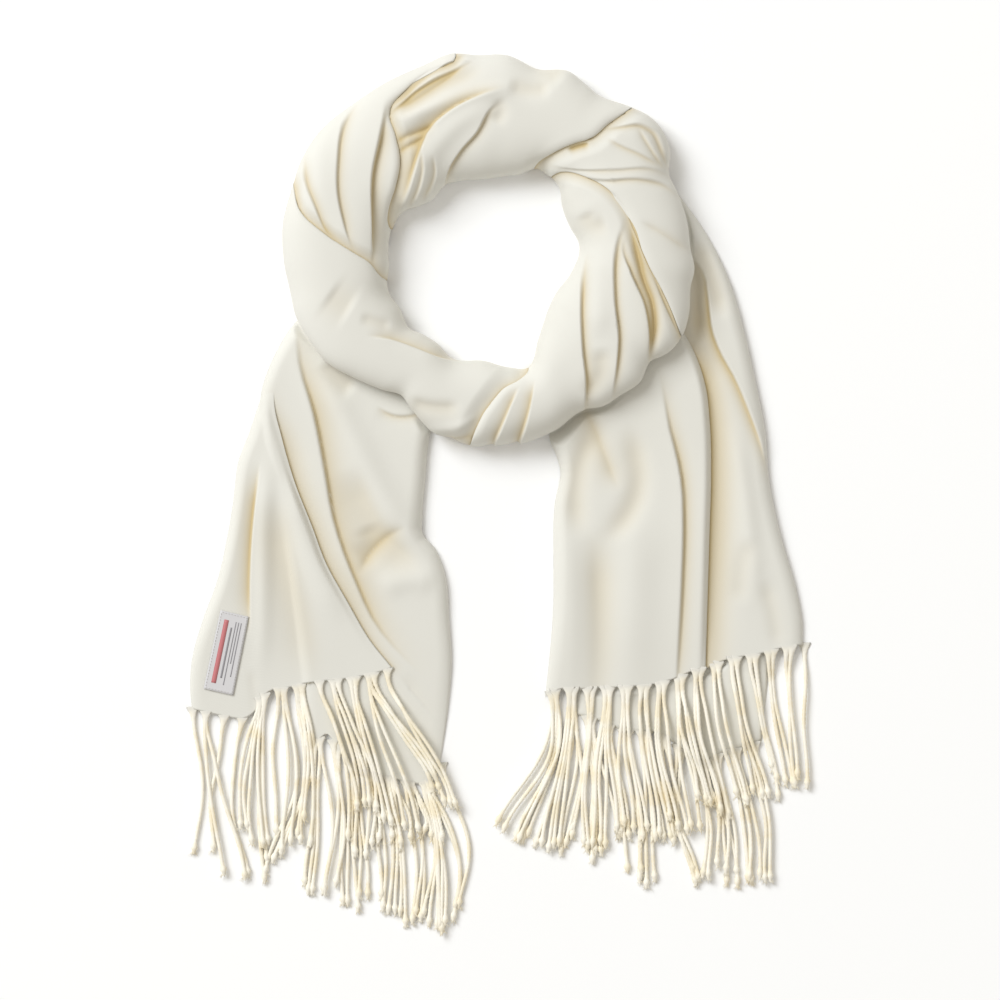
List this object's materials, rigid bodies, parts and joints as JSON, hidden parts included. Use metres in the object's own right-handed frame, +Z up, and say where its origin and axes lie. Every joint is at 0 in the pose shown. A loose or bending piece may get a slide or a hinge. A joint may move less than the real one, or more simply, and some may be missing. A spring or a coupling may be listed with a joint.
{
  "type": "pashmina shawl",
  "caption": "Long woven shawl with twisted fringe, wound once into a neck ring and laid flat with its two ends side by side.",
  "frame": {"origin": "centre of the shawl's bounding box in plan, on the surface that it lies on", "axes": "+Z up from the surface, +Y from the fringe towards the neck ring, +X to the right as seen from above"},
  "size_m": [0.4624, 0.6666, 0.0427],
  "materials": {
    "cloth": "matt fine wool twill with a soft sheen",
    "fringe": "matt two-ply twisted yarn",
    "label": "woven satin"
  },
  "bodies": {
    "root": {"ring_top": "cloth", "ring_left": "cloth", "ring_lower": "cloth", "ring_right": "cloth", "ring_wrap": "cloth", "ring_core": "cloth", "left_tail_front": "cloth", "left_tail_back": "cloth", "left_tail_core": "cloth", "right_tail_front": "cloth", "right_tail_side": "cloth", "right_tail_back": "cloth", "left_fringe_front": "fringe", "left_fringe_back": "fringe", "right_fringe_front": "fringe", "right_fringe_side": "fringe", "right_fringe_back": "fringe", "label": "label"}
  },
  "joints": []
}
